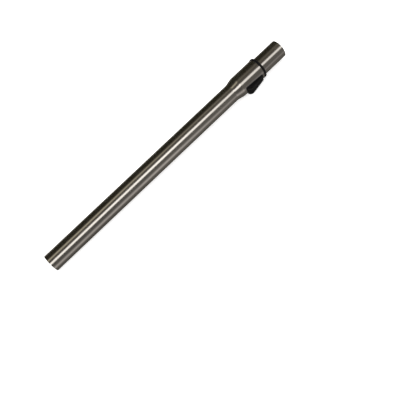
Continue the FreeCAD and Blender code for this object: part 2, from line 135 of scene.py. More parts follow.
class WandLockSizes(bpy.types.PropertyGroup):
    """Sizes of the lock: notches, keyway, button and spring."""
    notch_count: IntProperty(name="Notches", description="Lock notches along the sliding tube", default=13, min=2)
    notch_first: length("First notch", "Station of the notch that holds when pushed in", 510.0)
    notch_radius: length("Notch radius", "Radius of a pressed notch", 2.15)
    notch_height: length("Notch height", "Height of a notch's centre above the axis", 16.75)
    keyway_radius: length("Keyway radius", "Radius of the pressed keyway", 2.4)
    keyway_height: length("Keyway height", "Distance of the keyway's centre from the axis", 17.4)
    button_start: length("Button start", "High end of the button", 474.3)
    button_end: length("Button end", "Low end of the button", 514.5)
    button_half: length("Button half width", "Half the width of the button at its high end", 8.75)
    button_taper: FloatProperty(name="Button taper", description="Loss of half width for each length of button",
                                default=0.051)
    button_low: length("Button low height", "Height of the thumb face at the low end", 23.25)
    thumb_slope: FloatProperty(name="Thumb slope", description="Slope of the thumb face",
                               default=math.radians(9.0), subtype="ANGLE", unit="ROTATION")
    thumb_round: length("Thumb round", "Radius at the high end of the thumb face", 8.0)
    low_round: length("Low round", "Radius at the low end of the thumb face", 1.5)
    button_edge: length("Button edge", "Radius of the button's long edges", 1.45)
    button_wall: length("Button wall", "Wall of the hollow button", 1.1)
    skirt_radius: length("Skirt radius", "Distance of the button's lower edge from the axis", 20.2)
    grip_first: length("First ridge", "Station of the first grip ridge", 485.7)
    grip_pitch: length("Ridge pitch", "Distance between grip ridges", 3.4)
    grip_count: IntProperty(name="Ridges", description="Grip ridges on the thumb face", default=5, min=0)
    grip_proud: length("Ridge height", "How far a ridge stands proud", 0.5)
    grip_half: length("Ridge half length", "Half the length of a ridge", 5.2)
    web_inner: length("Web inner face", "Distance of a web's inner face from the middle", 1.3)
    web_outer: length("Web outer face", "Distance of a web's outer face from the middle", 3.1)
    web_foot: length("Web foot", "Height of the webs' lower edge", 16.55)
    spring_station: length("Spring station", "Centre of the return spring", 482.3)
    spring_low: length("Spring foot", "Height of the spring's lower seat", 17.35)
    spring_high: length("Spring top", "Height of the spring's upper seat", 25.62)
    spring_radius: length("Spring radius", "Outside radius of the spring", 3.2)
    spring_wire: length("Spring wire", "Diameter of the spring's wire", 0.7)
    spring_turns: FloatProperty(name="Spring turns", description="Turns of the spring's wire", default=3.0)


class WandFinishes(bpy.types.PropertyGroup):
    """Colours of the finishes."""
    steel: colour("Tube steel", "Polished plated steel", (0.60, 0.585, 0.555))
    steel_shade: colour("Tube steel shade", "Slightly warmer patches of the plating", (0.55, 0.525, 0.485))
    black: colour("Black plastic", "Matte moulded plastic", (0.0026, 0.0026, 0.0028))
    black_worn: colour("Worn black plastic", "Plastic that thumbs have polished", (0.011, 0.011, 0.0115))
    sleeve: colour("Sleeve plastic", "Satin moulded insert", (0.022, 0.022, 0.024))
    pin: colour("Pin steel", "Ground steel", (0.53, 0.53, 0.54))
    wire: colour("Spring steel", "Drawn wire", (0.36, 0.36, 0.38))
    rubber: colour("Seal rubber", "Soft matte rubber", (0.02, 0.02, 0.021))
    floor: colour("Floor", "Pale studio floor", (0.86, 0.86, 0.86))


class WandStudio(bpy.types.PropertyGroup):
    """Camera and light. The camera's place is given in the wand's own axes."""
    eye: FloatVectorProperty(name="Camera place", description="Along, across and out from the wand's lower end",
                             default=(0.14135, 0.90138, 0.47993), size=3, subtype="TRANSLATION", unit="LENGTH")
    turn: FloatVectorProperty(name="Camera turn", description="Camera angles in the wand's own axes",
                              default=(-1.03438, -0.74441, -0.24767), size=3, subtype="EULER", unit="ROTATION")
    lens: FloatProperty(name="Lens", description="Focal length on a 36 mm sensor", default=50.4, unit="CAMERA")
    fill: FloatProperty(name="Fill light", description="Strength of the even light on floor and plastic", default=1.0)
    floor_size: length("Floor size", "Side of the floor", 12000.0)


def wand_points(x, y, z):
    """Place in the row frame: lower end + x along the axis + y across + z out towards the button."""
    x, y, z = np.broadcast_arrays(x, y, z)
    return LOWER_END + x[..., None] * ALONG + y[..., None] * ACROSS + z[..., None] * OUT


def round_points(x, radius, angle):
    """Place on the wand at a station, a radius and an angle that is 0 at the button."""
    return wand_points(x, radius * np.sin(angle), radius * np.cos(angle))


def grid_faces(rows, columns, wrap_rows=False, wrap_columns=False):
    """Corner numbers of the quads between neighbours of a rows by columns grid."""
    row = np.arange(rows if wrap_rows else rows - 1)[:, None]
    column = np.arange(columns if wrap_columns else columns - 1)[None, :]
    below = (row + 1) % rows
    beside = (column + 1) % columns
    corners = [row * columns + column, row * columns + beside, below * columns + beside, below * columns + column]
    return np.stack(np.broadcast_arrays(*corners), axis=-1).reshape(-1, 4)


def piece(name, patches, values=None):
    """One object from patches of (points, faces): joined, doubles merged, normals outward, smooth."""
    starts = np.cumsum([0] + [points.reshape(-1, 3).shape[0] for points, faces in patches])
    points = np.concatenate([points.reshape(-1, 3) for points, faces in patches])
    faces = np.concatenate([faces + start for (points_, faces), start in zip(patches, starts)])
    mesh = bpy.data.meshes.new(name)
    mesh.from_pydata(points.tolist(), [], faces.tolist())
    for label, numbers in (values or {}).items():
        attribute = mesh.attributes.new(label, "FLOAT", "POINT")
        attribute.data.foreach_set("value", np.ascontiguousarray(numbers, dtype=np.float32).ravel())
    work = bmesh.new()
    work.from_mesh(mesh)
    bmesh.ops.remove_doubles(work, verts=work.verts, dist=WELD)
    bmesh.ops.dissolve_degenerate(work, edges=work.edges, dist=SLIVER)
    bmesh.ops.recalc_face_normals(work, faces=work.faces)
    work.to_mesh(mesh)
    work.free()
    mesh.polygons.foreach_set("use_smooth", np.ones(len(mesh.polygons), dtype=bool))
    mesh.set_sharp_from_angle(angle=SMOOTH_ANGLE)
    mesh.update()
    made = bpy.data.objects.new(name, mesh)
    bpy.context.scene.collection.objects.link(made)
    return made


def settle(made, body, slot, material, *nodes):
    """Gives a finished piece its material and body, and hides the CAD nodes that it stands for; the slot argument is
    not used.
    """
    made.data.materials.clear()
    made.data.materials.append(material)
    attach(made, body)
    if nodes:
        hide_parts(*nodes)


def around(count):
    """Angles of a closed ring, from the side that faces away from the button."""
    return -math.pi + 2 * math.pi * np.arange(count) / count


def rim(x, outer, inner, direction, radius, steps=5):
    """Profile over the cut edge of a sheet: two quarter rounds and the flat between, as (x, radius)."""
    turn = np.linspace(0, math.pi / 2, steps)
    up_x = x - direction * radius * (1 - np.sin(turn))
    up_r = outer - radius * (1 - np.cos(turn))
    down_r = inner + radius * (1 - np.cos(turn[::-1]))
    return np.concatenate([up_x, up_x[::-1]]), np.concatenate([up_r, down_r])


def swage_radius(x, start, end, low, high, bend):
    """Radius over a cone whose two corners are arcs of the bend radius, tangent to the straight runs."""
    slope = math.atan2(high - low, end - start)
    run = bend * math.tan(slope / 2)
    cone = low + (x - start) * math.tan(slope)
    first = np.clip(x - (start - run), 0, run * (1 + math.cos(slope)))
    last = np.clip((end + run) - x, 0, run * (1 + math.cos(slope)))
    hollow = low + bend - np.sqrt(bend ** 2 - first ** 2)
    crown = high - bend + np.sqrt(bend ** 2 - last ** 2)
    middle = np.where(x < start + run * math.cos(slope), hollow, np.where(x > end - run * math.cos(slope), crown, cone))
    return np.where(x <= start - run, low, np.where(x >= end + run, high, middle))


def rounded_loop(low, high, half, corner, long_count, side_count):
    """Window outline as four runs, each from the middle of one corner arc to the middle of the next."""
    turn = np.linspace(0, math.pi / 4, 9)
    run_x = np.concatenate([low + corner * (1 - np.cos(turn[::-1])), low + corner * (1 - np.cos(turn))])
    run_y = np.concatenate([-half + corner * (1 - np.sin(turn[::-1])), half - corner * (1 - np.sin(turn))])
    far_y = np.concatenate([half - corner * (1 - np.cos(turn[::-1])), half - corner * (1 - np.cos(turn))])
    far_x = np.concatenate([low + corner * (1 - np.sin(turn[::-1])), high - corner * (1 - np.sin(turn))])
    low_x, low_y = even_run(run_x, run_y, long_count)
    side_x, side_y = even_run(far_x, far_y, side_count)
    loop_x = np.concatenate([low_x[:-1], side_x[:-1], (low + high - low_x)[:-1], (low + high - side_x)[:-1]])
    loop_y = np.concatenate([low_y[:-1], side_y[:-1], -low_y[:-1], -side_y[:-1]])
    return loop_x, loop_y


def even_run(x, y, count):
    """The same line with count equal steps along its length."""
    distance = np.concatenate([[0], np.cumsum(np.hypot(np.diff(x), np.diff(y)))])
    wanted = np.linspace(0, distance[-1], count + 1)
    return np.interp(wanted, distance, x), np.interp(wanted, distance, y)


def lower_tube_patches(sizes, taper):
    """Lower tube: a profile turned about the axis up to the window, a net between the window's outline
    and a belt round the head, and a last turned profile at the mouth."""
    columns, sides = 144, 40
    angle = around(columns)
    low, high = sizes.window_low - 2 * MM, sizes.window_high + 1.25 * MM
    head, bore = sizes.head_radius, sizes.head_radius - sizes.tube_wall
    swage_end = sizes.plain_length + sizes.swage_length
    bend = sizes.swage_blend
    stations = np.unique(np.concatenate([
        np.linspace(1.2 * MM, sizes.plain_length - 4 * MM, 60),
        np.linspace(sizes.plain_length - 3 * MM, swage_end + 2.4 * MM, 28), [low]]))
    outside = swage_radius(stations, sizes.plain_length, swage_end, sizes.tube_radius, head, bend)
    inside = outside - sizes.tube_wall
    edge_x, edge_r = rim(0.0, sizes.tube_radius, sizes.tube_radius - sizes.tube_wall, -1, EDGE_BREAK)
    profile_x = np.concatenate([stations[::-1], edge_x, stations])
    profile_r = np.concatenate([outside[::-1], edge_r, inside])
    body = round_points(profile_x[:, None], profile_r[:, None], angle[None, :])
    edge_x, edge_r = rim(sizes.head_end, head, bore, 1, EDGE_BREAK)
    mouth_x = np.concatenate([[high], edge_x, [high]])
    mouth_r = np.concatenate([[head], edge_r, [bore]])
    mouth = round_points(mouth_x[:, None], mouth_r[:, None], angle[None, :])

    loop_x, loop_y = rounded_loop(low=sizes.window_low, high=sizes.window_high, half=sizes.window_half,
                                  corner=sizes.window_corner, long_count=columns, side_count=sides)
    belt_x, belt_a = even_run(np.array([low, low]), np.array([-math.pi, math.pi]), columns)
    seam_x = np.linspace(low, high, sides + 1)
    outer_x = np.concatenate([belt_x[:-1], seam_x[:-1], np.full(columns, high), seam_x[:0:-1]])
    outer_a = np.concatenate([belt_a[:-1], np.full(sides, math.pi), -belt_a[:-1], np.full(sides, -math.pi)])
    spread = np.concatenate([[0.004, 0.012, 0.03], np.linspace(0.06, 0.94, 27), [0.965, 0.98, 0.99, 0.996, 1.0]])
    lip = np.linspace(0, math.pi / 2, 4)
    share = np.concatenate([spread[::-1], 0.004 * (1 - np.sin(lip)), 0.004 * (1 - np.sin(lip[::-1])), spread])
    round_off = 0.12 * MM
    level = np.concatenate([np.full(spread.size, bore), bore + round_off * (1 - np.cos(lip)),
                            head - round_off * (1 - np.cos(lip[::-1])), np.full(spread.size, head)])
    loop_y = loop_y * (1 - (loop_x - sizes.window_low) * taper / sizes.window_half)
    window_a = np.arcsin(loop_y[None, :] / level[:, None])
    net_x = loop_x + share[:, None] * (outer_x - loop_x)
    net_a = window_a + share[:, None] * (outer_a - window_a)
    net = round_points(net_x, level[:, None], net_a)
    return [(body, grid_faces(profile_x.size, columns, wrap_columns=True)),
            (mouth, grid_faces(mouth_x.size, columns, wrap_columns=True)),
            (net, grid_faces(share.size, loop_x.size, wrap_columns=True))]


def soft_least(first, second, blend):
    """The smaller of two surfaces, with the crease between them rounded over the blend length."""
    gap = np.clip(0.5 + 0.5 * (second - first) / blend, 0, 1)
    return second + (first - second) * gap - blend * gap * (1 - gap)


def pressed_radius(x, angle, sizes, lock):
    """Radius of the sliding tube: its turned profile, less a round groove across it at each notch and a
    round groove along it at the keyway."""
    shoulder = math.atan2(sizes.socket_radius - sizes.inner_radius, sizes.shoulder_end - sizes.shoulder_start)
    plain = swage_radius(x, sizes.shoulder_start, sizes.shoulder_end, sizes.inner_radius, sizes.socket_radius,
                         0.9 * MM / math.tan(shoulder / 2)) + 0 * angle
    pitch = TRAVEL / (lock.notch_count - 1)
    number = np.clip(np.round((lock.notch_first - x) / pitch), 0, lock.notch_count - 1)
    off = np.clip(np.abs(x - (lock.notch_first - number * pitch)) / lock.notch_radius, 0, 1)
    floor = lock.notch_height - lock.notch_radius * np.sqrt(1 - off ** 2) + 8 * MM * (off >= 1)
    facing = np.cos(angle)
    notch = np.where(facing > 0.5, floor / np.maximum(facing, 0.5), NO_PRESS)
    away = np.clip(lock.keyway_height * np.sin(angle) / lock.keyway_radius, -1, 1)
    groove = lock.keyway_height * -facing - lock.keyway_radius * np.sqrt(1 - away ** 2)
    keyed = (facing < 0) & (np.abs(away) < 1) & (x < sizes.shoulder_start - 1.5 * MM)
    groove = np.where(keyed, groove, NO_PRESS)
    return soft_least(soft_least(plain, notch, CREASE), groove, CREASE)


def sliding_tube_patches(sizes, lock):
    """Sliding tube: the pressed radius on a net of stations and angles, outside and one wall inside, with
    a rolled edge at the socket."""
    near = np.linspace(-1, 1, 15)
    pitch = TRAVEL / (lock.notch_count - 1)
    centres = lock.notch_first - pitch * np.arange(lock.notch_count)
    notches = (centres[:, None] + near[None, :] * 2.6 * MM).ravel()
    between = (centres[:, None] + np.array([-0.36, 0.36])[None, :] * pitch).ravel()
    stations = np.unique(np.concatenate([
        [sizes.inner_start], notches, between[between > sizes.inner_start],
        np.linspace(sizes.inner_start, centres[-1] - 4 * MM, 6),
        np.linspace(sizes.shoulder_start - 1.6 * MM, sizes.shoulder_end + 1.6 * MM, 20),
        np.linspace(sizes.shoulder_end + 3 * MM, sizes.socket_end - 1.2 * MM, 10)]))
    back = np.linspace(math.radians(32), math.radians(166), 34)
    front = np.linspace(-math.radians(30), math.radians(30), 31)
    key = np.linspace(math.radians(167.5), math.radians(192.5), 21)
    angle = np.concatenate([front, back, key, 2 * math.pi - back[::-1]])
    outside = pressed_radius(stations[:, None], angle[None, :], sizes, lock)
    edge_x, edge_r = rim(sizes.socket_end, sizes.socket_radius, sizes.socket_radius - sizes.inner_wall, 1,
                         EDGE_BREAK)
    edge = np.broadcast_to(edge_r[:, None], (edge_r.size, angle.size))
    radius = np.concatenate([outside, edge, outside[::-1] - sizes.inner_wall])
    along = np.concatenate([stations, edge_x, stations[::-1]])
    net = round_points(along[:, None], radius, angle[None, :])
    return [(net, grid_faces(along.size, angle.size, wrap_rows=True, wrap_columns=True))]


def rounded_path(corners, radii, steps=8):
    """Line of straight runs whose corners are arcs; each arc is the circle tangent to both runs."""
    corners = np.asarray(corners, dtype=float)
    bits = [corners[:1]]
    for before, corner, after, radius in zip(corners, corners[1:], corners[2:], radii):
        back = (before - corner) / np.linalg.norm(before - corner)
        ahead = (after - corner) / np.linalg.norm(after - corner)
        half = math.acos(np.clip(back @ ahead, -1, 1)) / 2
        middle = (back + ahead) / np.linalg.norm(back + ahead)
        centre = corner + middle * radius / math.sin(half)
        start, stop = corner + back * radius / math.tan(half), corner + ahead * radius / math.tan(half)
        share = np.linspace(0, 1, steps)[:, None]
        spoke = (start - centre) * (1 - share) + (stop - centre) * share
        bits.append(centre + radius * spoke / np.linalg.norm(spoke, axis=1)[:, None])
    bits.append(corners[-1:])
    return np.concatenate(bits)


def mouth_ring_patches(sizes):
    """Mouth ring: a closed rounded profile turned about the axis."""
    out = sizes.head_radius + sizes.ring_overhang
    bore = sizes.inner_radius + 0.15 * MM
    spigot = sizes.head_radius - sizes.tube_wall - 0.02 * MM
    face = sizes.head_end
    mouth, foot = face + sizes.ring_length, face - sizes.ring_spigot
    seat = sizes.shoulder_start - 0.3 * MM
    wide = sizes.socket_radius + 0.3 * MM
    corners = [(foot + 1 * MM, spigot), (face, spigot), (face, out), (mouth, out), (mouth, wide), (seat, bore),
               (foot, bore), (foot, spigot), (foot + 0.9 * MM, spigot)]
    path = rounded_path(corners, [0.05 * MM, 0.35 * MM, 1.1 * MM, 0.4 * MM, 0.5 * MM, 0.15 * MM, 0.3 * MM], 7)
    angle = around(160)
    net = round_points(path[:, :1], path[:, 1:], angle[None, :])
    return [(net, grid_faces(len(path), angle.size, wrap_rows=True, wrap_columns=True))]


def button_end_rows(lock, side, arm, radius, foot):
    """Rows of one button end, from the skirt up: an arc about the pivot, then the round that is tangent to it
    and to the thumb line. Gives places and normals in the side view, as (x, z) for each row and column."""
    slope = lock.thumb_slope
    along = np.array([math.cos(slope), -math.sin(slope)])
    normal = np.array([math.sin(slope), math.cos(slope)])
    over = (lock.button_low + (lock.button_end - PIVOT_X) * math.tan(slope) - PIVOT_Z) * math.cos(slope)
    reach = math.sqrt((arm - radius) ** 2 - (over - radius) ** 2)
    middle = side * reach * along + (over - radius) * normal
    tangent, upright = (math.atan2(line[1], side * line[0]) for line in (middle, normal))
    start = np.arcsin((foot - PIVOT_Z) / arm)
    climb = start + (tangent - start) * np.linspace(0, 1, 12)[:, None]
    turn = np.linspace(tangent, upright, 24)[1:, None] + 0 * foot
    angle = np.concatenate([climb, turn])
    facing = np.stack([side * np.cos(angle), np.sin(angle)], axis=-1)
    places = np.concatenate([arm * facing[:len(climb)], middle + radius * facing[len(climb):]])
    return places + np.array([PIVOT_X, PIVOT_Z]), facing


def button_half_at(lock, x):
    """Half the button's width at a station."""
    return lock.button_half - (x - lock.button_start) * lock.button_taper


def release_button_patches(lock):
    """Button: the side view carried across the tapered width. Over the long edges it follows a quarter round,
    then runs down to the skirt; each ridge lifts the thumb face by a rounded bump along the slope."""
    edge, half = lock.button_edge, lock.button_half
    turn = np.linspace(0, math.pi / 2, 8)
    flat = np.linspace(-(half - edge), half - edge, 41)
    over_edge = half - edge + edge * np.sin(turn)
    across = np.concatenate([-over_edge[:0:-1], flat, over_edge[1:]])
    sink = np.concatenate([edge * (1 - np.cos(turn[:0:-1])), 0 * flat, edge * (1 - np.cos(turn[1:]))])
    low_half = button_half_at(lock, lock.button_end)
    high, high_facing = button_end_rows(lock, -1, PIVOT_X - lock.button_start, lock.thumb_round,
                                        np.sqrt(lock.skirt_radius ** 2 - across ** 2))
    low, low_facing = button_end_rows(lock, 1, lock.button_end - PIVOT_X, lock.low_round,
                                      np.sqrt(lock.skirt_radius ** 2 - (across * low_half / half) ** 2))
    share = np.linspace(0, 1, 220)[1:-1, None, None]
    thumb = high[-1] * (1 - share) + low[-1] * share
    places = np.concatenate([high, thumb, low[::-1]])
    facing = np.concatenate([high_facing, np.broadcast_to(high_facing[-1], thumb.shape), low_facing[::-1]])
    nearest = np.clip(np.round((places[..., 0] - lock.grip_first) / lock.grip_pitch), 0, lock.grip_count - 1)
    off = (places[..., 0] - lock.grip_first - nearest * lock.grip_pitch) / (0.3 * lock.grip_pitch)
    ends = np.clip((lock.grip_half - np.abs(across)) / (0.9 * MM), 0, 1)
    bump = np.sqrt(np.clip(1 - off ** 2, 0, 1)) * np.sqrt(1 - (1 - ends) ** 2)
    top = places + facing * (lock.grip_proud * bump - sink)[..., None]
    rows = len(top)
    foot_x = np.linspace(top[0, 0, 0] + edge, top[-1, 0, 0] - edge, rows)
    foot = np.stack([foot_x, np.sqrt(lock.skirt_radius ** 2 - button_half_at(lock, foot_x) ** 2)], axis=-1)
    down = np.linspace(0, 1, 9)[1:, None]
    wall = top[:, -1:] + (foot[:, None] - top[:, -1:]) * down
    net = np.concatenate([wall[:, ::-1], top, wall], axis=1)
    spread = np.concatenate([np.full(down.size, -half), across, np.full(down.size, half)])
    net_y = spread * button_half_at(lock, net[..., 0]) / half
    polish = bump + 0.8 * (sink > 0.05 * edge) * (sink < 0.9 * edge) * (facing[..., 1] > 0.2)
    unworn = np.zeros(wall.shape[:2])
    wear = np.concatenate([unworn, polish, unworn], axis=1)
    points = wand_points(net[..., 0], net_y, net[..., 1])
    return [(points, grid_faces(rows, spread.size))], {"wear": wear}


def button_web_patches(lock):
    """Two webs under the thumb face that hold the pins: a rounded outline carried across each web's
    thickness and drawn in to the middle of both faces."""
    under = lock.thumb_slope
    left, right = PIVOT_X - 2.5 * MM, lock.notch_first + 2.9 * MM
    ceiling = [lock.button_low + (lock.button_end - x) * math.tan(under) - lock.button_wall for x in (left, right)]
    foot = lock.web_foot
    corners = [(right, (ceiling[1] + foot) / 2), (right, ceiling[1]), (left, ceiling[0]), (left, foot), (right, foot),
               (right, (ceiling[1] + foot) / 2 - 0.01 * MM)]
    line = rounded_path(corners, [0.2 * MM, 0.2 * MM, 2.5 * MM, 0.9 * MM])
    middle = line.mean(axis=0)
    patches = []
    for inner, outer in ((lock.web_inner, lock.web_outer), (-lock.web_outer, -lock.web_inner)):
        drawn = np.array([0.0, 1.0, 1.0, 0.0])[:, None, None]
        rows = middle + (line - middle) * drawn
        y = np.array([inner, inner, outer, outer])[:, None]
        patches.append((wand_points(rows[..., 0], y, rows[..., 1]), grid_faces(4, len(line), wrap_columns=True)))
    return patches


def spring_patches(lock):
    """Return spring: a circle carried along a helix whose end turns lie flat, closed at both wire ends."""
    steps, sides = 240, 14
    share = np.linspace(0, 1, steps)
    wire = lock.spring_wire / 2
    mean = lock.spring_radius - wire
    turn = 2 * math.pi * lock.spring_turns * share
    flat = 0.5 / lock.spring_turns
    climb = np.clip((share - flat) / (1 - 2 * flat), 0, 1)
    low, high = lock.spring_low + wire, lock.spring_high - wire
    height = low + (high - low) * (climb + 0.12 * (share - climb))
    centre = np.stack([lock.spring_station + mean * np.cos(turn), mean * np.sin(turn), height], axis=1)
    tangent = np.gradient(centre, axis=0)
    tangent /= np.linalg.norm(tangent, axis=1)[:, None]
    outward = np.stack([np.cos(turn), np.sin(turn), 0 * turn], axis=1)
    upward = np.cross(tangent, outward)
    section = 2 * math.pi * np.arange(sides) / sides
    ring = outward[:, None] * np.cos(section)[:, None] + upward[:, None] * np.sin(section)[:, None]
    full = np.concatenate([[0], np.full(steps, wire), [0]])
    rows = np.concatenate([[0], np.arange(steps), [steps - 1]])
    tube = centre[rows][:, None] + full[:, None, None] * ring[rows]
    net = wand_points(tube[..., 0], tube[..., 1], tube[..., 2])
    return [(net, grid_faces(steps + 2, sides, wrap_columns=True))]


def group(name, inputs, outputs):
    """An empty shader node group with named value or colour sockets; gives its tree, input and output."""
    tree = bpy.data.node_groups.new(name, "ShaderNodeTree")
    for label, default in inputs:
        socket = tree.interface.new_socket(label, in_out="INPUT", socket_type="NodeSocketFloat")
        socket.default_value = default
    for label in outputs:
        tree.interface.new_socket(label, in_out="OUTPUT", socket_type="NodeSocketFloat")
    return tree, tree.nodes.new("NodeGroupInput"), tree.nodes.new("NodeGroupOutput")


def feed(tree, socket, value):
    """Links a socket into an input, or sets the input to a plain value."""
    if isinstance(value, bpy.types.NodeSocket):
        tree.links.new(value, socket)
    else:
        socket.default_value = value


def node(tree, kind, settings=None, **sockets):
    """Adds a node, sets its own settings, and links or sets its inputs by socket name."""
    made = tree.nodes.new(kind)
    for label, value in (settings or {}).items():
        setattr(made, label, value)
    for label, value in sockets.items():
        feed(tree, made.inputs[label.replace("_", " ")], value)
    return made


def maths(tree, operation, first, second=0.0, third=0.0):
    """A math node on values or sockets; gives its output."""
    made = tree.nodes.new("ShaderNodeMath")
    made.operation = operation
    for socket, value in zip(made.inputs, (first, second, third)):
        feed(tree, socket, value)
    return made.outputs[0]


def place(tree, scale, turn=(0.0, 0.0, 0.0)):
    """Object coordinates turned to lie along the wand and scaled."""
    coordinates = tree.nodes.new("ShaderNodeTexCoord")
    mapping = node(tree, "ShaderNodeMapping", Vector=coordinates.outputs["Object"], Scale=scale, Rotation=turn)
    return mapping.outputs["Vector"]


def drawn_lines_group():
    """Fine lines that polishing leaves along a tube: noise stretched along the wand, at two widths."""
    tree, given, result = group("drawn_lines", [("Density", 900.0), ("Length", 3.0)], ["Lines", "Streaks"])
    lie = (0.0, -math.asin(float(ALONG[2])), 0.0)
    scale = node(tree, "ShaderNodeCombineXYZ", X=given.outputs["Length"], Y=given.outputs["Density"],
                 Z=given.outputs["Density"]).outputs["Vector"]
    stretched = place(tree, scale, lie)
    fine = node(tree, "ShaderNodeTexNoise", Vector=stretched, Scale=1.0, Detail=4.0, Roughness=0.6)
    wide = place(tree, (1.5, 130.0, 130.0), lie)
    broad = node(tree, "ShaderNodeTexNoise", Vector=wide, Scale=1.0, Detail=2.0, Roughness=0.5)
    tree.links.new(fine.outputs["Fac"], result.inputs["Lines"])
    tree.links.new(broad.outputs["Fac"], result.inputs["Streaks"])
    return tree


def handling_group():
    """Marks of handling: cloudy smears, and a few short scratches in crossing directions."""
    tree, given, result = group("handling_marks", [("Size", 22.0), ("Scratch density", 60.0)], ["Smears", "Scratches"])
    cloud = node(tree, "ShaderNodeTexNoise", Vector=place(tree, (1.0, 1.0, 1.0)), Scale=given.outputs["Size"],
                 Detail=5.0, Roughness=0.55, Distortion=0.6)
    smears = node(tree, "ShaderNodeMapRange", {"clamp": True, "interpolation_type": "SMOOTHSTEP"},
                  Value=cloud.outputs["Fac"], From_Min=0.46, From_Max=0.72)
    slanted = place(tree, (0.35, 6.0, 6.0), (0.3, 0.5, 0.25))
    nick = node(tree, "ShaderNodeTexNoise", Vector=slanted, Scale=given.outputs["Scratch density"], Detail=1.0)
    scratches = node(tree, "ShaderNodeMapRange", {"clamp": True}, Value=nick.outputs["Fac"], From_Min=0.705,
                     From_Max=0.76)
    tree.links.new(smears.outputs["Result"], result.inputs["Smears"])
    tree.links.new(scratches.outputs["Result"], result.inputs["Scratches"])
    return tree


def moulded_grain_group():
    """Spark-eroded mould texture: small rounded cells over fine noise, and slow tone changes."""
    tree, given, result = group("moulded_grain", [("Grain size", 1500.0)], ["Grain", "Tone"])
    here = place(tree, (1.0, 1.0, 1.0))
    cells = node(tree, "ShaderNodeTexVoronoi", {"feature": "SMOOTH_F1"}, Vector=here, Scale=given.outputs["Grain size"],
                 Smoothness=0.6)
    fine = node(tree, "ShaderNodeTexNoise", Vector=here, Scale=given.outputs["Grain size"], Detail=3.0)
    grain = maths(tree, "ADD", maths(tree, "MULTIPLY", cells.outputs["Distance"], 0.6),
                  maths(tree, "MULTIPLY", fine.outputs["Fac"], 0.4))
    tone = node(tree, "ShaderNodeTexNoise", Vector=here, Scale=120.0, Detail=3.0)
    tree.links.new(grain, result.inputs["Grain"])
    tree.links.new(tone.outputs["Fac"], result.inputs["Tone"])
    return tree


def material(name):
    """A new node material; gives the material, its tree and its principled shader."""
    made = bpy.data.materials.new(name)
    made.use_nodes = True
    return made, made.node_tree, made.node_tree.nodes["Principled BSDF"]


def placed(tree, name, **values):
    """A shared group in a material, with its own input values."""
    made = tree.nodes.new("ShaderNodeGroup")
    made.node_tree = bpy.data.node_groups[name]
    for label, value in values.items():
        made.inputs[label.replace("_", " ")].default_value = value
    return made.outputs


def mix_colour(tree, factor, first, second):
    """A colour between two colours or sockets by a factor."""
    made = node(tree, "ShaderNodeMix", {"data_type": "RGBA"})
    tree.links.new(factor, made.inputs["Factor"])
    for socket, value in zip([socket for socket in made.inputs if socket.type == "RGBA"], (first, second)):
        feed(tree, socket, value if isinstance(value, bpy.types.NodeSocket) else (*value, 1.0))
    return [socket for socket in made.outputs if socket.type == "RGBA"][0]


def bumped(tree, shader, height, strength, distance):
    """Puts a bump of that height under the shader's normal."""
    made = node(tree, "ShaderNodeBump", Height=height, Strength=strength, Distance=distance)
    tree.links.new(made.outputs["Normal"], shader.inputs["Normal"])


def polished_steel(finishes):
    """Plated tube steel: warm mirror with lengthwise polishing lines, smears and a few hair scratches."""
    made, tree, shader = material("polished_tube_steel")
    lines = placed(tree, "drawn_lines", Density=1100.0, Length=4.0)
    marks = placed(tree, "handling_marks", Size=24.0)
    tone = maths(tree, "MULTIPLY", lines["Streaks"], 0.8)
    tree.links.new(mix_colour(tree, tone, finishes.steel, finishes.steel_shade), shader.inputs["Base Color"])
    roughness = maths(tree, "MULTIPLY_ADD", lines["Lines"], 0.10, 0.085)
    roughness = maths(tree, "MULTIPLY_ADD", marks["Smears"], 0.06, roughness)
    roughness = maths(tree, "MULTIPLY_ADD", marks["Scratches"], 0.10, roughness)
    tree.links.new(roughness, shader.inputs["Roughness"])
    shader.inputs["Metallic"].default_value = 1.0
    height = maths(tree, "MULTIPLY_ADD", marks["Scratches"], -0.25, lines["Lines"])
    bumped(tree, shader, height, 0.035, 0.0002)
    return made


def matte_black(finishes):
    """Black moulded plastic: fine mould grain; ridges and edges are polished lighter by thumbs."""
    made, tree, shader = material("matte_black_plastic")
    grain = placed(tree, "moulded_grain", Grain_size=1700.0)
    marks = placed(tree, "handling_marks", Size=60.0)
    wear = tree.nodes.new("ShaderNodeAttribute")
    wear.attribute_name = "wear"
    rubbed = maths(tree, "MULTIPLY", wear.outputs["Fac"], maths(tree, "MULTIPLY_ADD", grain["Tone"], 0.8, 0.25))
    shade = maths(tree, "MULTIPLY_ADD", marks["Smears"], 0.12, rubbed)
    tree.links.new(mix_colour(tree, shade, finishes.black, finishes.black_worn), shader.inputs["Base Color"])
    roughness = maths(tree, "MULTIPLY_ADD", grain["Tone"], 0.14, 0.44)
    roughness = maths(tree, "MULTIPLY_ADD", rubbed, -0.16, roughness)
    tree.links.new(roughness, shader.inputs["Roughness"])
    shader.inputs["Specular IOR Level"].default_value = 0.25
    bumped(tree, shader, grain["Grain"], 0.22, FINE_BUMP)
    return made


def satin_sleeve(finishes):
    """Dark satin insert plastic: smoother than the button, with faint flow marks."""
    made, tree, shader = material("satin_sleeve_plastic")
    grain = placed(tree, "moulded_grain", Grain_size=2600.0)
    marks = placed(tree, "handling_marks", Size=90.0)
    paler = [min(1.0, part * 1.7) for part in finishes.sleeve]
    tree.links.new(mix_colour(tree, marks["Smears"], finishes.sleeve, paler), shader.inputs["Base Color"])
    tree.links.new(maths(tree, "MULTIPLY_ADD", grain["Tone"], 0.16, 0.32), shader.inputs["Roughness"])
    bumped(tree, shader, grain["Grain"], 0.08, FINE_BUMP)
    return made


